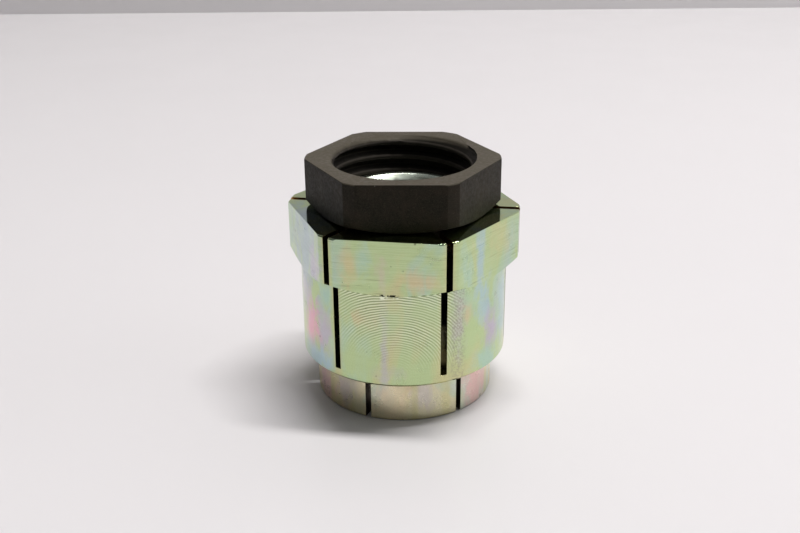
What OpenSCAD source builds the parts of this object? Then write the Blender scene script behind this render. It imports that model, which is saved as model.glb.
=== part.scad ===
// Split-collar compression fitting for a round tube.
// A hex nut turns on the threaded neck of a slotted cone sleeve and draws it up inside a slotted
// hex collar, so that the sleeve closes on the tube while the collar opens in its housing.
// Millimetres, +Z up along the common axis, origin at the centre of the foot of the sleeve.

/* [Collar] */
// Distance across the collar's flats
collar_af = 44.45; // [40:0.05:50]
// Radius that the collar's corners are turned to
collar_corner_r = 24.6; // [24:0.1:25.2]
// Height of the hex flange, measured at a corner
flange_h = 10.2; // [8:0.1:12]
// Radius of the plain barrel under the flange
barrel_r = 22.06; // [21.6:0.02:22.2]
// Length of the barrel, from its foot to the flange's flats
barrel_h = 20.5; // [18:0.1:24]
// Width of each slot in the collar
collar_slot_w = 1.4; // [0.8:0.1:2]
// Unslotted band that the collar's slots leave at the foot of the barrel
collar_band_h = 2.1; // [1.5:0.1:4]
// Width of the chamfer round the foot of the barrel
barrel_chamfer = 0.6; // [0.3:0.1:1.2]

/* [Sleeve] */
// Radius of the bore that grips the tube
tube_bore_r = 11.8; // [10:0.05:12]
// Radius of the plain land that shows under the barrel
land_r = 19.2; // [19:0.05:19.3]
// Height of the land that shows under the barrel when the fitting is loose
land_h = 9.5; // [7:0.1:12]
// Width of each slot in the sleeve
sleeve_slot_w = 1.2; // [0.8:0.1:1.6]
// Height that the sleeve's slots reach
sleeve_slot_top = 27; // [24:0.5:30]
// Angle from a slot of the collar to the next slot of the sleeve
sleeve_slot_turn = 15.1; // [8:0.1:52]

/* [Nut] */
// Distance across the nut's flats
nut_af = 36.8; // [34:0.1:38]
// Radius that the nut's corners are turned to
nut_corner_r = 20.5; // [20:0.1:20.8]
// Height of the nut's hexagon
nut_h = 10.1; // [8:0.1:12]
// Turn of the nut's hexagon from the collar's hexagon when loose
nut_turn = 7.3; // [-30:0.1:30]
// Gap between the nut's seat and the collar's top face when loose
seat_gap = 0.2; // [0.1:0.05:0.4]
// Depth from the nut's top face down to the sleeve's rim when loose
rim_depth = 7.9; // [6:0.1:10]

/* [Thread] */
// Pitch of the thread between the nut and the sleeve, eight turns to the inch
pitch = 3.175; // [3:0.005:3.3]
// Height of the sleeve's ridge over the +X axis, above a whole number of pitches
thread_rise = 0.5; // [0:0.1:3.1]
// Steps that the thread is drawn with in each turn
thread_steps = 30; // [24:2:40]

/* [Taper] */
// Half angle of the cone faces
cone_angle = 7; // [5:0.5:9]
// Rise of the sleeve, from loose, that brings the cone faces together
wedge_travel = 2; // [1.5:0.1:2.5]

/* [Hidden] */
$fn = 96;

slots = 6;
flange_underside_angle = 30;
seam_angle = 20;        // where the barrel's surface begins, between two slots
fine_break = 0.25;      // width of the light edge breaks
past = 1;               // how far a cutting shape runs past the face that it cuts

// Heights, from the foot of the sleeve upwards
collar_z = land_h;
flats_z = collar_z + barrel_h;
flange_corner_z = flats_z + (collar_corner_r - barrel_r) * tan(flange_underside_angle);
collar_top = flange_corner_z + flange_h;
nut_z = collar_top + seat_gap;
nut_top = nut_z + nut_h;
collar_slot_z = collar_z + collar_band_h;
sleeve_top = nut_top - rim_depth;

// Cone faces: the collar's mouth, and the sleeve's cone that stays clear of it until it has risen
mouth_r = 19.6;
cone_slope = tan(cone_angle);
cone_clearance = 0.02;
cone_gap = wedge_travel * cone_slope + cone_clearance;
sleeve_cone_foot_z = collar_z + (mouth_r - cone_gap - land_r) / cone_slope;
sleeve_cone_top_z = 21;
rim_chamfer = 1.2;      // at the upper mouth of the tube bore
foot_lead = 0.6;        // at the lower mouth of the tube bore
foot_break = 0.3;
collar_cone_top_z = sleeve_cone_top_z + wedge_travel + 0.3;
function mouth_at(z) = mouth_r - (z - collar_z) * cone_slope;
function cone_at(z) = mouth_at(z) - cone_gap;

// Nut skirt, its snap-in flange, and the seat for both inside the collar
skirt_r = 17.6;
skirt_z = 24.6;
snap_r = 18.2;
snap_h = 3;
lip_h = 3;
lip_r = 17.85;
snap_groove_r = 18.5;
snap_play = 0.4;        // room for the flange in its groove, above and below it
snap_top = collar_top - lip_h - snap_play;
snap_lead = 0.6;        // chamfer that lets the flange snap past the lip
lip_chamfer = 0.4;
nut_base_r = 18.2;
nut_chamfer_angle = 25;

// Thread form: 30 degree flanks, with the nut's and the sleeve's forms on one helix
flank = tan(30);
nut_minor_r = 14.45;
nut_major_r = 15.95;
nut_crest_w = 0.79;
thread_axial_play = 0.1;
sleeve_major_r = 15.75;
sleeve_minor_r = 14.2;
relief_r = 13.9;        // undercut between the cone and the thread
relief_h = 2;
thread_chamfer_r = 15.4;
groove_inner_w = pitch - nut_crest_w;
groove_outer_w = groove_inner_w - 2 * flank * (nut_major_r - nut_minor_r);
ridge_outer_w = groove_outer_w + 2 * flank * (nut_major_r - sleeve_major_r) - 2 * thread_axial_play;
ridge_inner_w = ridge_outer_w + 2 * flank * (sleeve_major_r - sleeve_minor_r);

// A hexagonal prism with flats that face -Y and +Y, from z0 to z1
module hexagon(af, z0, z1) {
    translate([0, 0, z0])
        linear_extrude(z1 - z0)
            circle(r = af / 2 / cos(30), $fn = 6);
}

// A turned body: outline points are [radius, height]; start is where its surface begins
module turned(outline, start = 0) {
    rotate([0, 0, start])
        rotate_extrude()
            polygon(outline);
}

// Radial slots of width w between heights z0 and z1, turned from the collar's corners
module slot_cuts(w, z0, z1, turn) {
    for (i = [0 : slots - 1])
        rotate([0, 0, turn + i * 360 / slots])
            translate([0, -w / 2, z0])
                cube([collar_corner_r + past, w, z1 - z0]);
}

// A right-handed threaded rod that reaches past z0 and z1, drawn as one closed surface
module threaded_rod(minor_r, major_r, minor_w, major_w, z0, z1) {
    n = thread_steps;
    first = floor(z0 / pitch) - 2;
    steps = (ceil(z1 / pitch) + 2 - first) * n;
    foot_z = first * pitch + thread_rise;
    // four corners of the ridge's section, from its lower root to its upper root
    section = [
        [minor_r, -minor_w / 2], [major_r, -major_w / 2],
        [major_r, major_w / 2], [minor_r, minor_w / 2]
    ];
    ridge = [
        for (i = [0 : steps], p = section)
            let (a = i * 360 / n)
            [p[0] * cos(a), p[0] * sin(a), foot_z + p[1] + pitch * i / n]
    ];
    foot = len(ridge);
    head = foot + 1;
    centres = [[0, 0, foot_z + pitch / 4], [0, 0, foot_z + pitch * (steps / n - 1 / 4)]];
    ridge_sides = [
        for (i = [0 : steps - 1], k = [0 : 2])
            let (a = 4 * i + k)
            each [[a, a + 5, a + 4], [a, a + 1, a + 5]]
    ];
    roots = [
        for (i = [0 : steps - n - 1])
            let (a = 4 * i + 3, b = 4 * (i + n))
            each [[a, b + 4, a + 4], [a, b, b + 4]]
    ];
    foot_fan = [for (i = [0 : n - 1]) [foot, 4 * i, 4 * i + 4]];
    foot_step = [for (k = [0 : 2]) [foot, k + 1, k]];
    head_fan = [for (i = [steps - n : steps - 1]) [head, 4 * i + 7, 4 * i + 3]];
    head_step = [for (k = [0 : 2]) [head, 4 * steps + k, 4 * steps + k + 1]];
    seams = [[foot, 4 * n, 3], [head, 4 * (steps - n) + 3, 4 * steps]];
    polyhedron(
        concat(ridge, centres),
        concat(ridge_sides, roots, foot_fan, foot_step, head_fan, head_step, seams),
        convexity = 12
    );
}

module split_collar() {
    color([0.72, 0.74, 0.52])
    difference() {
        union() {
            intersection() {
                hexagon(collar_af, flats_z - past, collar_top);
                turned([
                    [0, flats_z - past], [barrel_r, flats_z - past], [barrel_r, flats_z],
                    [collar_corner_r, flange_corner_z], [collar_corner_r, collar_top - fine_break],
                    [collar_corner_r - fine_break, collar_top], [0, collar_top]
                ]);
            }
            turned([
                [0, collar_z], [barrel_r - barrel_chamfer, collar_z],
                [barrel_r, collar_z + barrel_chamfer], [barrel_r, flats_z], [0, flats_z]
            ], seam_angle);
        }
        // cone mouth, bore for the nut's skirt, snap groove and lip
        turned([
            [0, collar_z - past], [mouth_at(collar_z - past), collar_z - past],
            [mouth_at(collar_cone_top_z), collar_cone_top_z], [lip_r, collar_cone_top_z],
            [lip_r, snap_top - snap_h - snap_play], [snap_groove_r, snap_top - snap_h - snap_play],
            [snap_groove_r, collar_top - lip_h], [lip_r, collar_top - lip_h],
            [lip_r, collar_top - lip_chamfer], [lip_r + lip_chamfer + past, collar_top + past],
            [0, collar_top + past]
        ]);
        slot_cuts(collar_slot_w, collar_slot_z, collar_top + past, 0);
    }
}

module cone_sleeve() {
    thread_z = sleeve_cone_top_z + relief_h;
    color([0.74, 0.73, 0.55])
    difference() {
        union() {
            turned([
                [0, 0], [land_r - foot_break, 0], [land_r, foot_break],
                [land_r, sleeve_cone_foot_z],
                [cone_at(sleeve_cone_top_z - 0.5), sleeve_cone_top_z - 0.5],
                [cone_at(sleeve_cone_top_z) - 0.5, sleeve_cone_top_z],
                [relief_r, sleeve_cone_top_z], [relief_r, thread_z + 0.5], [0, thread_z + 0.5]
            ]);
            intersection() {
                threaded_rod(sleeve_minor_r, sleeve_major_r, ridge_inner_w, ridge_outer_w,
                             thread_z, sleeve_top);
                sleeve_thread_blank(thread_z);
            }
        }
        translate([0, 0, -past])
            cylinder(r = tube_bore_r, h = sleeve_top + 2 * past);
        turned([
            [0, -past], [tube_bore_r + foot_lead + past, -past], [tube_bore_r, foot_lead],
            [0, foot_lead]
        ]);
        turned([
            [0, sleeve_top - rim_chamfer], [tube_bore_r, sleeve_top - rim_chamfer],
            [tube_bore_r + rim_chamfer + past, sleeve_top + past], [0, sleeve_top + past]
        ]);
        slot_cuts(sleeve_slot_w, -past, sleeve_slot_top, sleeve_slot_turn);
    }
}

// Outside limit of the sleeve's thread: chamfered at both ends
module sleeve_thread_blank(thread_z) {
    lead = sleeve_major_r - sleeve_minor_r + 0.3;
    turned([
        [0, thread_z], [sleeve_minor_r - 0.1, thread_z], [sleeve_minor_r - 0.1 + lead, thread_z + lead],
        [sleeve_minor_r - 0.1 + lead, sleeve_top - lead], [sleeve_minor_r - 0.1, sleeve_top],
        [0, sleeve_top]
    ]);
}

module compression_nut() {
    chamfer_h = (nut_corner_r - nut_base_r) * tan(nut_chamfer_angle);
    color([0.16, 0.15, 0.14])
    difference() {
        union() {
            intersection() {
                rotate([0, 0, nut_turn])
                    hexagon(nut_af, nut_z, nut_top);
                turned([
                    [0, nut_z], [nut_base_r, nut_z], [nut_corner_r, nut_z + chamfer_h],
                    [nut_corner_r, nut_top - fine_break], [nut_corner_r - fine_break, nut_top],
                    [0, nut_top]
                ]);
            }
            turned([
                [0, skirt_z], [skirt_r - 0.5, skirt_z], [skirt_r, skirt_z + 0.5],
                [skirt_r, snap_top - snap_h], [snap_r, snap_top - snap_h + snap_lead],
                [snap_r, snap_top], [skirt_r, snap_top], [skirt_r, nut_z], [0, nut_z]
            ]);
        }
        threaded_rod(nut_minor_r, nut_major_r, groove_inner_w, groove_outer_w, skirt_z, nut_top);
        thread_mouth(nut_top, 1);
        thread_mouth(skirt_z, -1);
    }
}

// The countersink at a mouth of the nut's thread; side is 1 at the top and -1 at the foot
module thread_mouth(z, side) {
    depth = thread_chamfer_r - nut_minor_r + 0.2;
    turned([
        [0, z + side * past], [thread_chamfer_r + past, z + side * past],
        [thread_chamfer_r - depth, z - side * depth], [0, z - side * depth]
    ]);
}

split_collar();
cone_sleeve();
compression_nut();
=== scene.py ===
# Looks for a split-collar compression fitting: plated zinc collar and sleeve, black phosphate nut.
# Everything is in metres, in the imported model's own frame.
import math

import bmesh
import bpy
from mathutils import Matrix, Vector


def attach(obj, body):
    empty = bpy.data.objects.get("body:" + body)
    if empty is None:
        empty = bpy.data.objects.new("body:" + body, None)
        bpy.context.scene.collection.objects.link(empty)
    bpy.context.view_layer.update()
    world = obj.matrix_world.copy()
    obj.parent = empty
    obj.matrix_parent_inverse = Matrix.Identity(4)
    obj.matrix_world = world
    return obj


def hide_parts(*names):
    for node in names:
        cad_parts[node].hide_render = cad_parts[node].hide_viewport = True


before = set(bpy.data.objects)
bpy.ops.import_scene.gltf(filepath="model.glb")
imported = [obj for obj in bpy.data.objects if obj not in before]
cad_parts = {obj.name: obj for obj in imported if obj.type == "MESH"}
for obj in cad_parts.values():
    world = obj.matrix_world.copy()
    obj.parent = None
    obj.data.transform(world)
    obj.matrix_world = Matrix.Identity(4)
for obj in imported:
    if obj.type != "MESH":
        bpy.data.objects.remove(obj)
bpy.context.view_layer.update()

MM = 0.001


# ---------------------------------------------------------------- node helpers
class Graph:
    """A small wrapper that adds shader nodes and joins them."""

    def __init__(self, name):
        self.mat = bpy.data.materials.new(name)
        self.mat.use_nodes = True
        self.tree = self.mat.node_tree
        self.tree.nodes.clear()
        self.out = self.tree.nodes.new("ShaderNodeOutputMaterial")
        self.bsdf = self.tree.nodes.new("ShaderNodeBsdfPrincipled")
        self.tree.links.new(self.bsdf.outputs["BSDF"], self.out.inputs["Surface"])

    def put(self, socket, value):
        """Link a socket to another, or set it to a constant."""
        if isinstance(value, bpy.types.NodeSocket):
            self.tree.links.new(value, socket)
        elif value is not None:
            socket.default_value = value

    def math(self, op, a, b=None, c=None, clamp=False):
        n = self.tree.nodes.new("ShaderNodeMath")
        n.operation = op
        n.use_clamp = clamp
        for socket, value in zip(n.inputs, (a, b, c)):
            self.put(socket, value)
        return n.outputs[0]

    def hypot(self, a, b):
        return self.math("SQRT", self.math("ADD", self.math("MULTIPLY", a, a), self.math("MULTIPLY", b, b)))

    def off(self, a, centre):
        """How far a value is from a centre, either side."""
        return self.math("ABSOLUTE", self.math("SUBTRACT", a, centre))

    def vec(self, op, a, b=None, scale=None):
        n = self.tree.nodes.new("ShaderNodeVectorMath")
        n.operation = op
        self.put(n.inputs[0], a)
        if b is not None:
            self.put(n.inputs[1], b)
        if scale is not None:
            self.put(n.inputs["Scale"], scale)
        return n.outputs[0]

    def xyz(self, v):
        n = self.tree.nodes.new("ShaderNodeSeparateXYZ")
        self.put(n.inputs[0], v)
        return n.outputs

    def join(self, x, y, z):
        n = self.tree.nodes.new("ShaderNodeCombineXYZ")
        for socket, value in zip(n.inputs, (x, y, z)):
            self.put(socket, value)
        return n.outputs[0]

    def place(self):
        """Object coordinates in millimetres."""
        n = self.tree.nodes.new("ShaderNodeTexCoord")
        return self.vec("SCALE", n.outputs["Object"], scale=1000.0)

    def normal(self):
        n = self.tree.nodes.new("ShaderNodeTexCoord")
        return n.outputs["Normal"]

    def noise(self, v, scale, detail=2.0, rough=0.5, distort=0.0):
        n = self.tree.nodes.new("ShaderNodeTexNoise")
        self.put(n.inputs["Vector"], v)
        self.put(n.inputs["Scale"], scale)
        self.put(n.inputs["Detail"], detail)
        self.put(n.inputs["Roughness"], rough)
        self.put(n.inputs["Distortion"], distort)
        return n.outputs["Fac"]

    def ramp(self, f, stops):
        n = self.tree.nodes.new("ShaderNodeValToRGB")
        n.color_ramp.interpolation = "LINEAR"
        e = n.color_ramp.elements
        while len(e) < len(stops):
            e.new(0.5)
        for el, (pos, col) in zip(e, stops):
            el.position = pos
            el.color = (*col, 1)
        self.put(n.inputs[0], f)
        return n.outputs[0]

    def span(self, f, a, b, lo=0.0, hi=1.0):
        """A smooth step from lo at a to hi at b."""
        n = self.tree.nodes.new("ShaderNodeMapRange")
        n.interpolation_type = "SMOOTHSTEP"
        self.put(n.inputs[0], f)
        for socket, value in zip(list(n.inputs)[1:5], (a, b, lo, hi)):
            self.put(socket, value)
        return n.outputs[0]

    def mix(self, f, a, b):
        n = self.tree.nodes.new("ShaderNodeMix")
        n.data_type = "RGBA"
        self.put(n.inputs[0], f)
        self.put(n.inputs[6], a if isinstance(a, bpy.types.NodeSocket) else (*a, 1))
        self.put(n.inputs[7], b if isinstance(b, bpy.types.NodeSocket) else (*b, 1))
        return n.outputs[2]

    def bump(self, height, strength, distance, after=None):
        """Bump from a height field; distance is in metres, and after is a normal to add to."""
        n = self.tree.nodes.new("ShaderNodeBump")
        n.inputs["Strength"].default_value = strength
        n.inputs["Distance"].default_value = distance
        self.put(n.inputs["Height"], height)
        if after is not None:
            self.put(n.inputs["Normal"], after)
        return n.outputs[0]

    def finish(self, color, rough, normal, metallic, **constants):
        self.put(self.bsdf.inputs["Base Color"], color)
        self.put(self.bsdf.inputs["Roughness"], rough)
        self.put(self.bsdf.inputs["Normal"], normal)
        self.bsdf.inputs["Metallic"].default_value = metallic
        for name, value in constants.items():
            self.bsdf.inputs[name.replace("_", " ")].default_value = value
        return self.mat


# ---------------------------------------------------------------- materials
# Colours of the zinc's film, in the order that they follow as the film thickens
GREEN = (0.53, 0.66, 0.35)
GOLD = (0.66, 0.62, 0.32)
AMBER = (0.74, 0.55, 0.32)
ROSE = (0.72, 0.46, 0.50)
LILAC = (0.56, 0.50, 0.62)
SKY = (0.46, 0.62, 0.68)
TEAL = (0.46, 0.66, 0.54)
# Other colours seen in patches
GREY = (0.56, 0.55, 0.50)
HAZE = (0.42, 0.52, 0.56)
PINK = (0.82, 0.44, 0.53)
STRAW = (0.84, 0.72, 0.50)
SALMON = (0.82, 0.52, 0.50)

BARREL_RADIUS = 22.06   # mm
FLANGE_FOOT = 30.0      # height of the collar flange's underside, in mm
FLANGE_TOP = 41.67      # height of its top face, under the nut
SLOT_PITCH = 60.0       # degrees between slots
NUT_TOP = 51.97         # height of the nut's top face, in mm


def film_color(g, p, seed, patches, base):
    """Drifting film colours with stated patches over them. Returns the colour, azimuth and height.

    A patch is (azimuth, height, half width, half height, colour, amount), in degrees and millimetres.
    Azimuth 0 is -Y and grows toward +X.
    """
    x, y, z = g.xyz(p)
    azimuth = g.math("MULTIPLY", g.math("ARCTAN2", x, g.math("MULTIPLY", y, -1.0)), 57.29578)
    moved = g.vec("ADD", p, (seed, seed * 1.7, seed * 0.6))
    drift = g.noise(g.vec("MULTIPLY", moved, (1, 1, 0.6)), 0.085, 3, 0.5, 0.8)
    color = g.ramp(drift, [
        (0.24, LILAC), (0.33, SKY), (0.41, TEAL), (0.47, base),
        (0.56, base), (0.62, GOLD), (0.69, AMBER), (0.78, ROSE)])
    quiet = g.mix(0.55, color, base)
    fray = g.noise(g.vec("MULTIPLY", p, (1, 1, 0.5)), 0.45, 3, 0.6, 0.6)
    for az, height, half_az, half_h, tone, amount in patches:
        da = g.math("DIVIDE", g.math("SUBTRACT", azimuth, az), half_az)
        dz = g.math("DIVIDE", g.math("SUBTRACT", z, height), half_h)
        ragged = g.math("ADD", g.hypot(da, dz), g.span(fray, 0.3, 0.7, -0.35, 0.35))
        near = g.span(ragged, 1.35, 0.15, 0.0, amount)
        quiet = g.mix(near, quiet, tone)
    return quiet, azimuth, z


def specks(g, p, scale, size, seed):
    """Small sparse marks: 1 on a mark, 0 elsewhere."""
    n = g.tree.nodes.new("ShaderNodeTexVoronoi")
    g.put(n.inputs["Vector"], g.vec("ADD", p, (seed, -seed, seed * 0.3)))
    n.inputs["Scale"].default_value = scale
    keep = g.span(n.outputs["Color"], 0.66, 0.68)
    return g.math("MULTIPLY", g.span(n.outputs["Distance"], size, size * 0.5), keep)


COLLAR_PATCHES = [
    # barrel
    (-41, 19, 8, 9.0, LILAC, 0.85), (-53, 19.0, 9, 7.0, PINK, 1.0), (-62, 26, 12, 6, LILAC, 0.8),
    (-47, 11.8, 17, 3.2, SKY, 0.95), (-37, 27, 7, 3.5, TEAL, 0.9), (-14, 24.5, 9, 2.2, AMBER, 0.65),
    (-18, 15, 9, 4, GREEN, 0.8), (-2, 17, 2.6, 12, LILAC, 0.6), (1, 13.0, 9, 2.0, GREY, 0.5),
    (39, 23, 5, 8, GREY, 0.9), (44, 24.5, 4, 2.2, AMBER, 0.55), (57, 25, 7, 6, SKY, 0.85),
    (64, 18, 8, 5, LILAC, 0.95), (60, 11.8, 11, 3.4, TEAL, 0.9), (80, 22, 9, 10, SKY, 0.8),
    (-80, 22, 9, 9, SKY, 0.6), (120, 20, 12, 6, ROSE, 0.8), (140, 14, 10, 4, SKY, 0.7),
    (165, 22, 9, 7, LILAC, 0.7), (-115, 17, 10, 6, TEAL, 0.7), (-135, 24, 10, 5, AMBER, 0.6),
    (-160, 15, 10, 6, ROSE, 0.6),
    # hex faces
    (-58, 37, 26, 10, HAZE, 1.0), (-42, 34, 9, 4.0, LILAC, 0.8), (-19, 36, 4, 5, AMBER, 0.6),
    (-12, 38, 4, 4.0, TEAL, 0.7), (-3, 35, 3, 4, ROSE, 0.4), (15, 33.5, 9, 2.5, AMBER, 0.7),
    (52, 37, 4, 9, SKY, 0.85), (41, 34, 6, 4, TEAL, 0.7), (70, 38, 10, 5, GOLD, 0.6),
    (110, 36, 12, 5, SKY, 0.7), (150, 37, 8, 6, AMBER, 0.6), (-110, 36, 10, 5, LILAC, 0.6),
    (-150, 35, 12, 4, TEAL, 0.7), (180, 38, 9, 5, SKY, 0.6),
]
SLEEVE_PATCHES = [
    (-55, 5, 12, 5, ROSE, 0.8), (-32, 6, 8, 5, LILAC, 0.5), (-2, 4, 18, 7, STRAW, 0.8),
    (20, 6, 9, 4, LILAC, 0.45), (36, 5, 4, 7, GOLD, 0.6), (62, 6, 15, 7, SALMON, 0.85),
    (110, 5, 12, 5, SKY, 0.6), (150, 5, 12, 5, AMBER, 0.6),
    (-110, 5, 12, 5, TEAL, 0.6), (-150, 5, 12, 5, ROSE, 0.6),
]
RING_STEP = 0.55        # spacing of the arcs left by the finishing cut, in mm
RING_HEIGHT = 12.0      # height that the arcs are centred on
RING_CENTRE = 4.0       # azimuth that the front group of arcs is centred on
RING_REPEAT = 120.0     # degrees between groups of arcs
SLEEVE_FEED = 0.28      # turning marks on the sleeve, in mm
TOP_FACE_ROUGHNESS = 0.085
SLEEVE_BASE = (0.74, 0.70, 0.47)
SLEEVE_SLOT_TURN = 15.0     # degrees from the collar's slots to the sleeve's


def edge_tint(g, azimuth, color, half, tone, amount):
    """A band of another film colour beside each slot."""
    folded = g.off(g.math("FLOORED_MODULO", azimuth, SLOT_PITCH), SLOT_PITCH / 2)
    return g.mix(g.span(folded, half, 0.5, 0.0, amount), color, tone)


def sawn_wall(g, x, y, radius):
    """1 on the walls of the slots, which face sideways, and 0 elsewhere."""
    nx, ny, _ = g.xyz(g.normal())
    across = g.math("SUBTRACT", g.math("MULTIPLY", nx, y), g.math("MULTIPLY", ny, x))
    return g.span(g.math("ABSOLUTE", g.math("DIVIDE", across, radius)), 0.72, 0.85)


def zinc_collar():
    g = Graph("collar_zinc")
    p = g.place()
    color, azimuth, z = film_color(g, p, 3.0, COLLAR_PATCHES, GREEN)
    color = edge_tint(g, azimuth, color, 4.5, GOLD, 0.7)
    x, y, _ = g.xyz(p)
    nz = g.xyz(g.normal())[2]
    upright = g.span(g.math("ABSOLUTE", nz), 0.5, 0.2)
    on_barrel = g.math("MULTIPLY", g.span(z, FLANGE_FOOT + 0.4, FLANGE_FOOT), upright)
    on_hex = g.math("MULTIPLY", g.span(z, FLANGE_FOOT, FLANGE_FOOT + 0.6), upright)

    # arcs of the finishing cut on the barrel, in groups round it
    half_repeat = RING_REPEAT / 2
    from_centre = g.math("ADD", g.math("SUBTRACT", azimuth, RING_CENTRE), half_repeat)
    group = g.math("SUBTRACT", g.math("FLOORED_MODULO", from_centre, RING_REPEAT), half_repeat)
    u = g.math("MULTIPLY", group, BARREL_RADIUS * math.pi / 180)
    w = g.math("SUBTRACT", z, RING_HEIGHT)
    wander = g.math("MULTIPLY", g.noise(p, 0.25, 2, 0.5), 0.5)
    away = g.math("ADD", g.hypot(u, w), wander)
    rings = g.math("SINE", g.math("MULTIPLY", away, 2 * math.pi / RING_STEP))
    above = g.span(g.math("ADD", w, g.math("MULTIPLY", u, 0.25)), 1.0, 15.0, 0.05, 1.7)
    patchy = g.span(g.noise(p, 0.16, 2, 0.5), 0.36, 0.56, 0.45, 1.0)
    within = g.span(g.math("ABSOLUTE", u), 15.0, 9.0)
    ring_mask = g.math("MULTIPLY", g.math("MULTIPLY", above, patchy), g.math("MULTIPLY", within, on_barrel))
    rings = g.math("MULTIPLY", rings, ring_mask)

    # turning lines on the barrel and milling lines on the flats
    ripple = g.noise(g.vec("MULTIPLY", p, (0.12, 0.12, 9.0)), 1.0, 3, 0.6)
    mill = g.noise(g.vec("MULTIPLY", p, (0.10, 0.10, 4.5)), 1.0, 4, 0.65, 0.15)
    lines = g.math("ADD",
                   g.math("MULTIPLY", g.math("SUBTRACT", ripple, 0.5), on_barrel),
                   g.math("MULTIPLY", g.math("SUBTRACT", mill, 0.5), g.math("MULTIPLY", on_hex, 2.6)))
    scratch = g.span(g.noise(g.vec("MULTIPLY", p, (0.16, 0.16, 3.2)), 1.0, 2, 0.4, 0.3), 0.66, 0.72)
    dark_line = g.math("MULTIPLY", g.math("MULTIPLY", scratch, on_hex), 0.35)
    marks = specks(g, p, 0.30, 0.09, 5.0)
    fine = g.noise(p, 5.0, 3, 0.6)
    rough_patch = g.span(g.noise(p, 0.3, 3, 0.6), 0.5, 0.66)

    tone = g.math("ADD", 0.5, g.math("MULTIPLY", g.math("ADD", g.math("MULTIPLY", rings, 1.5), lines), 0.5))
    line_color = g.mix(g.span(tone, 0.45, 0.55), (0.32, 0.37, 0.20), (0.80, 0.86, 0.62))
    color = g.mix(g.math("MULTIPLY", g.off(tone, 0.5), 1.0, clamp=True), color, line_color)
    color = g.mix(dark_line, color, (0.20, 0.20, 0.12))
    color = g.mix(g.math("MULTIPLY", marks, 0.75), color, (0.10, 0.09, 0.06))
    color = g.mix(g.math("MULTIPLY", g.span(fine, 0.35, 0.75), 0.14), color, (0.30, 0.32, 0.24))

    # worn patch beside a slot, and a painted gap shadow and a painted highlight along the flange's
    # underside at the front
    beside = g.math("MULTIPLY", g.span(g.off(azimuth, 38.5), 6.0, 2.5), on_barrel)
    worn = g.math("MULTIPLY", beside, g.span(g.noise(p, 2.2, 2, 0.6), 0.44, 0.62, 0.0, 0.42))
    color = g.mix(worn, color, (0.30, 0.27, 0.24))
    along = g.span(g.off(azimuth, 1.0), 5.5, 4.0)
    ragged = g.math("MULTIPLY", along, g.span(g.noise(p, 0.9, 2, 0.6), 0.40, 0.50))
    gap_shadow_band = g.span(g.off(z, FLANGE_FOOT + 0.15), 0.32, 0.22)
    color = g.mix(g.math("MULTIPLY", ragged, gap_shadow_band), color, (0.03, 0.03, 0.02))
    edge_highlight_band = g.span(g.off(z, FLANGE_FOOT - 0.45), 0.32, 0.20)
    color = g.mix(g.math("MULTIPLY", ragged, edge_highlight_band), color, (0.86, 0.90, 0.70))

    # sawn slot walls: dull and brown, lighter brown near the top face and darkened by painted shade lower
    # down
    brown = g.mix(g.span(z, FLANGE_TOP - 4.67, FLANGE_TOP - 2.67), (0.13, 0.09, 0.045), (0.42, 0.25, 0.10))
    color = g.mix(g.math("MULTIPLY", sawn_wall(g, x, y, g.hypot(x, y)), 0.85), color, brown)

    smudge = g.span(g.noise(p, 0.35, 4, 0.6), 0.3, 0.7, 0.13, 0.24)
    rough = g.math("ADD", smudge, g.math("MULTIPLY", rough_patch, 0.06))
    rough = g.mix(upright, (TOP_FACE_ROUGHNESS,) * 3, g.join(rough, rough, rough))
    rough = g.xyz(rough)[0]
    normal = g.bump(g.math("ADD", g.math("MULTIPLY", rings, 0.55), lines), 0.30, 0.00002)
    normal = g.bump(g.math("SUBTRACT", g.math("MULTIPLY", fine, 0.35), marks), 0.20, 0.00003, normal)
    return g.finish(color, rough, normal, 1.0)


def zinc_sleeve():
    g = Graph("sleeve_zinc")
    p = g.place()
    color, azimuth, z = film_color(g, p, 17.0, SLEEVE_PATCHES, SLEEVE_BASE)
    color = edge_tint(g, g.math("ADD", azimuth, SLEEVE_SLOT_TURN), color, 3.5, GOLD, 0.6)
    x, y, _ = g.xyz(p)
    radius = g.hypot(x, y)

    # silvery in the bore and on the neck, with painted shade along the bore's +X side
    inside = g.span(radius, 12.6, 12.3)
    high = g.span(z, 38.0, 40.0)
    silver = g.math("MAXIMUM", inside, high)
    color = g.mix(g.math("MULTIPLY", silver, 0.8), color, (0.50, 0.56, 0.50))
    color = g.mix(g.math("MULTIPLY", inside, g.span(x, -3.0, 5.0, 0.0, 0.75)), color, (0.16, 0.18, 0.13))

    feed = g.math("SINE", g.math("MULTIPLY", z, 2 * math.pi / SLEEVE_FEED))
    ripple = g.math("SUBTRACT", g.noise(g.vec("MULTIPLY", p, (0.1, 0.1, 6.0)), 1.0, 3, 0.6), 0.5)
    lines = g.math("ADD", g.math("MULTIPLY", feed, 0.25), ripple)
    marks = specks(g, p, 0.30, 0.09, 11.0)
    fine = g.noise(p, 5.0, 3, 0.6)
    color = g.mix(g.math("MULTIPLY", g.span(lines, 0.0, 0.7), 0.35), color, (0.78, 0.80, 0.62))
    color = g.mix(g.math("MULTIPLY", g.span(fine, 0.4, 0.8), 0.25), color, (0.30, 0.27, 0.20))
    color = g.mix(g.math("MULTIPLY", marks, 0.7), color, (0.10, 0.08, 0.06))
    # painted shade on the slots' walls, nearly black
    color = g.mix(g.math("MULTIPLY", sawn_wall(g, x, y, radius), 0.9), color, (0.07, 0.045, 0.03))
    rough = g.span(g.noise(p, 0.35, 4, 0.6), 0.3, 0.7, 0.26, 0.36)
    normal = g.bump(lines, 0.25, 0.00002)
    normal = g.bump(g.math("SUBTRACT", g.math("MULTIPLY", fine, 0.35), marks), 0.25, 0.00003, normal)
    return g.finish(color, rough, normal, 1.0)


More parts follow.
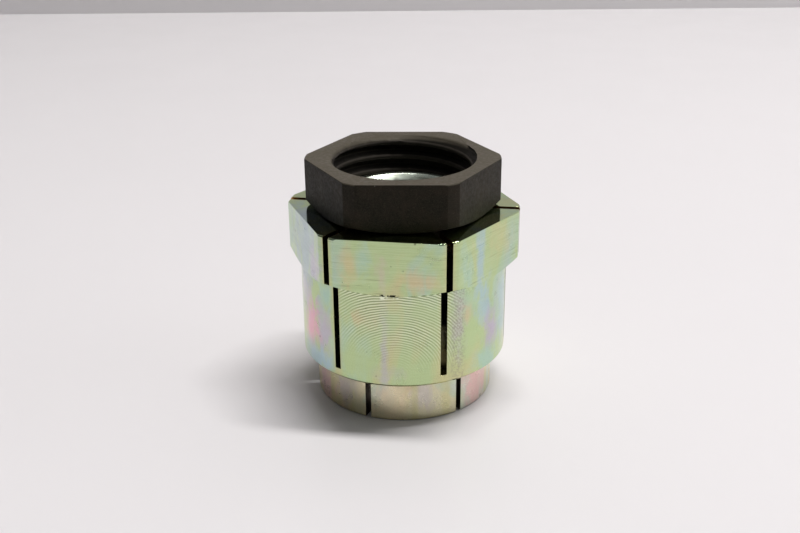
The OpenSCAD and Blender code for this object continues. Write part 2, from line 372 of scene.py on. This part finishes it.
def phosphate():
    g = Graph("nut_black")
    p = g.place()
    grain = g.noise(p, 5.0, 4, 0.75)
    coarse = g.noise(p, 1.4, 3, 0.6)
    cloud = g.noise(p, 0.22, 3, 0.6)
    color = g.mix(g.span(grain, 0.32, 0.68), (0.0070, 0.0062, 0.0045), (0.030, 0.026, 0.019))
    color = g.mix(g.span(cloud, 0.38, 0.66, 0.0, 0.55), color, (0.032, 0.024, 0.017))
    dust = g.math("MULTIPLY", g.span(grain, 0.62, 0.74), g.span(cloud, 0.35, 0.65))
    color = g.mix(g.math("MULTIPLY", dust, 0.85), color, (0.16, 0.14, 0.11))
    toward_x, _, up = g.xyz(g.normal())
    # painted light on the faces toward +X, painted shade on the faces toward -X, and painted brownish light
    # on top
    color = g.mix(g.span(toward_x, 0.5, 0.95, 0.0, 0.18), color, (0.060, 0.052, 0.042))
    color = g.mix(g.span(toward_x, -0.4, -0.95, 0.0, 0.35), color, (0.004, 0.0035, 0.0028))
    color = g.mix(g.span(up, 0.3, 0.95, 0.0, 0.62), color, (0.118, 0.103, 0.077))
    # darker in the thread as painted shade, with a painted highlight on its crests
    x, y, z = g.xyz(p)
    radius = g.hypot(x, y)
    below_mouth = g.span(z, NUT_TOP - 0.57, NUT_TOP - 0.97)
    cut = g.math("MULTIPLY", g.span(radius, 16.2, 15.5, 0.0, 0.92), below_mouth)
    color = g.mix(cut, color, (0.0030, 0.0024, 0.0018))
    crest = g.math("MULTIPLY", g.span(radius, 14.70, 14.50), g.span(z, 36.0, 40.0))
    color = g.mix(g.math("MULTIPLY", crest, 0.7), color, (0.060, 0.052, 0.044))
    marks = specks(g, p, 0.35, 0.05, 2.0)
    color = g.mix(g.math("MULTIPLY", marks, 0.7), color, (0.26, 0.24, 0.20))
    rough = g.span(coarse, 0.3, 0.7, 0.46, 0.62)
    normal = g.bump(grain, 0.30, 0.00005)
    normal = g.bump(coarse, 0.15, 0.00008, normal)
    return g.finish(color, rough, normal, 0.0, Specular_IOR_Level=0.16,
                    Specular_Tint=(1.0, 0.93, 0.78, 1))


# ---------------------------------------------------------------- pieces
EDGE_WIDTH = 0.11 * MM
MERGE = 0.0005 * MM
FLAT = math.radians(0.2)            # faces closer than this become one
SHARP = math.radians(24)            # edges sharper than this are rounded
SHADE_SHARP = math.radians(32)      # and than this are shaded as sharp


def refined(node, body, material, wanted):
    """A copy of a CAD node with clean faces and small rounded edges, shown in its place."""
    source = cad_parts[node]
    bm = bmesh.new()
    bm.from_mesh(source.data)
    bmesh.ops.remove_doubles(bm, verts=bm.verts, dist=MERGE)
    bmesh.ops.dissolve_limit(bm, angle_limit=FLAT, verts=bm.verts, edges=bm.edges)
    bm.normal_update()
    edges = [e for e in bm.edges if len(e.link_faces) == 2
             and e.calc_face_angle(0) > SHARP and wanted(e)]
    bmesh.ops.bevel(bm, geom=edges, offset=EDGE_WIDTH, offset_type="OFFSET", segments=2,
                    profile=0.5, affect="EDGES", clamp_overlap=True)
    bmesh.ops.dissolve_degenerate(bm, dist=MERGE, edges=bm.edges)
    bmesh.ops.triangulate(bm, faces=[f for f in bm.faces if len(f.verts) > 4])
    bm.normal_update()
    mesh = bpy.data.meshes.new(node + "_finished")
    bm.to_mesh(mesh)
    bm.free()
    piece = bpy.data.objects.new(node + "_finished", mesh)
    bpy.context.scene.collection.objects.link(piece)
    mesh.materials.append(material)
    for poly in mesh.polygons:
        poly.use_smooth = True
    mesh.set_sharp_from_angle(angle=SHADE_SHARP)
    weighted = piece.modifiers.new("even_normals", "WEIGHTED_NORMAL")
    weighted.keep_sharp = True
    weighted.weight = 60
    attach(piece, body)
    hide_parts(node)
    return piece


def any_edge(e):
    return True


def clear_of_thread(e):
    """Edges of the nut's outside, its top and its skirt, but not of the thread."""
    return all(math.hypot(v.co.x, v.co.y) > 16.6 * MM for v in e.verts)


def clear_of_sleeve_thread(e):
    """Edges of the sleeve's foot and cone, and of its bore's mouths."""
    low = all(v.co.z < 22.5 * MM for v in e.verts)
    mouth = all(math.hypot(v.co.x, v.co.y) < 13.5 * MM and v.co.z > 40 * MM for v in e.verts)
    return low or mouth


refined("split_collar", "collar", zinc_collar(), any_edge)
refined("cone_sleeve", "sleeve", zinc_sleeve(), clear_of_sleeve_thread)
refined("compression_nut", "nut", phosphate(), clear_of_thread)


# ---------------------------------------------------------------- camera's side of the scene
CAMERA_AZIMUTH = math.radians(8.817)
turn = Matrix.Rotation(CAMERA_AZIMUTH, 3, "Z")      # from the camera's X right, Y away to the model's frame


# ---------------------------------------------------------------- stage
def floor_material():
    g = Graph("table")
    p = g.place()
    haze = g.noise(p, 0.004, 2, 0.5)
    color = g.mix(haze, (0.775, 0.755, 0.765), (0.80, 0.78, 0.79))
    rough = g.span(g.noise(p, 0.03, 3, 0.6), 0.3, 0.7, 0.21, 0.23)
    dust = g.noise(p, 2.2, 3, 0.7)
    return g.finish(color, rough, g.bump(dust, 0.03, 0.00003), 0.0, Specular_IOR_Level=0.22)


def plate(name, width, depth, location, rotation=(0, 0, 0)):
    mesh = bpy.data.meshes.new(name)
    w, d = width / 2, depth / 2
    mesh.from_pydata([(-w, -d, 0), (w, -d, 0), (w, d, 0), (-w, d, 0)], [], [(0, 1, 2, 3)])
    obj = bpy.data.objects.new(name, mesh)
    obj.location = location
    obj.rotation_euler = rotation
    bpy.context.scene.collection.objects.link(obj)
    return obj


WALL_DISTANCE = 0.468
WALL_HEIGHT = 1.2

floor = plate("table_top", 8.0, 8.0, (0, 0, 0))
floor.data.materials.append(floor_material())
wall = plate("back_wall", 4.0, WALL_HEIGHT, turn @ Vector((0, WALL_DISTANCE, WALL_HEIGHT / 2)),
             (math.radians(90), 0, CAMERA_AZIMUTH))
wall.data.materials.append(floor.data.materials[0])


# ---------------------------------------------------------------- light
def area(name, size, energy, location, target, color):
    """A soft panel; location and target are given as the camera sees them: X right, Y away."""
    data = bpy.data.lights.new(name, "AREA")
    data.shape = "RECTANGLE"
    data.size, data.size_y = size
    data.energy = energy
    data.color = color
    obj = bpy.data.objects.new(name, data)
    place = turn @ Vector(location)
    obj.location = place
    aim = turn @ Vector(target) - place
    obj.rotation_euler = aim.to_track_quat("-Z", "Y").to_euler()
    bpy.context.scene.collection.objects.link(obj)


area("key_strip", (1.15, 0.14), 30.0, (0.42, 0.085, 1.80), (0.42, 0.085, 0), (1.0, 0.985, 0.975))
area("fill_panel", (0.60, 0.50), 0.75, (0.75, -0.10, 0.45), (0, 0, 0.03), (0.98, 0.985, 1.0))

# a room that is brighter behind and above, and nearly dark in front
BRIGHT_SIDE = (0.30, 0.45, 0.84)
ROOM_LEVELS = (-0.10, 0.90, 0.008, 0.24)     # match with that side from, to; strength from, to

world = bpy.data.worlds.new("studio")
world.use_nodes = True
wt = world.node_tree
sky_dir = wt.nodes.new("ShaderNodeTexCoord")
toward = wt.nodes.new("ShaderNodeVectorMath")
toward.operation = "DOT_PRODUCT"
toward.inputs[1].default_value = turn @ Vector(BRIGHT_SIDE)
wt.links.new(sky_dir.outputs["Generated"], toward.inputs[0])
level = wt.nodes.new("ShaderNodeMapRange")
level.interpolation_type = "SMOOTHSTEP"
for index, value in enumerate(ROOM_LEVELS, start=1):
    level.inputs[index].default_value = value
wt.links.new(toward.outputs["Value"], level.inputs[0])
sky = wt.nodes["Background"]
sky.inputs[0].default_value = (0.985, 0.985, 1.0, 1)
wt.links.new(level.outputs[0], sky.inputs[1])
bpy.context.scene.world = world
bpy.context.scene.view_settings.view_transform = "Standard"


# ---------------------------------------------------------------- camera
CAMERA_PITCH = math.radians(23.238)
CAMERA_ROLL = math.radians(-0.509)
CAMERA_DISTANCE = 0.23409
FOCAL_PX = 1079.1
FRAME_PX = 800
SENSOR_MM = 36.0

aim = turn @ Vector((-0.000793, 0, 0.027077))
forward = turn @ Vector((0, math.cos(CAMERA_PITCH), -math.sin(CAMERA_PITCH)))
side = turn @ Vector((1, 0, 0))
over = side.cross(forward)
right = side * math.cos(CAMERA_ROLL) + over * math.sin(CAMERA_ROLL)
up = right.cross(forward)
camera_data = bpy.data.cameras.new("camera")
camera_data.sensor_width = SENSOR_MM
camera_data.lens = FOCAL_PX / FRAME_PX * SENSOR_MM
camera_data.clip_start = 0.01
camera = bpy.data.objects.new("camera", camera_data)
axes = Matrix((right, up, -forward)).transposed()
camera.matrix_world = Matrix.Translation(aim - forward * CAMERA_DISTANCE) @ axes.to_4x4()
bpy.context.scene.collection.objects.link(camera)
bpy.context.scene.camera = camera
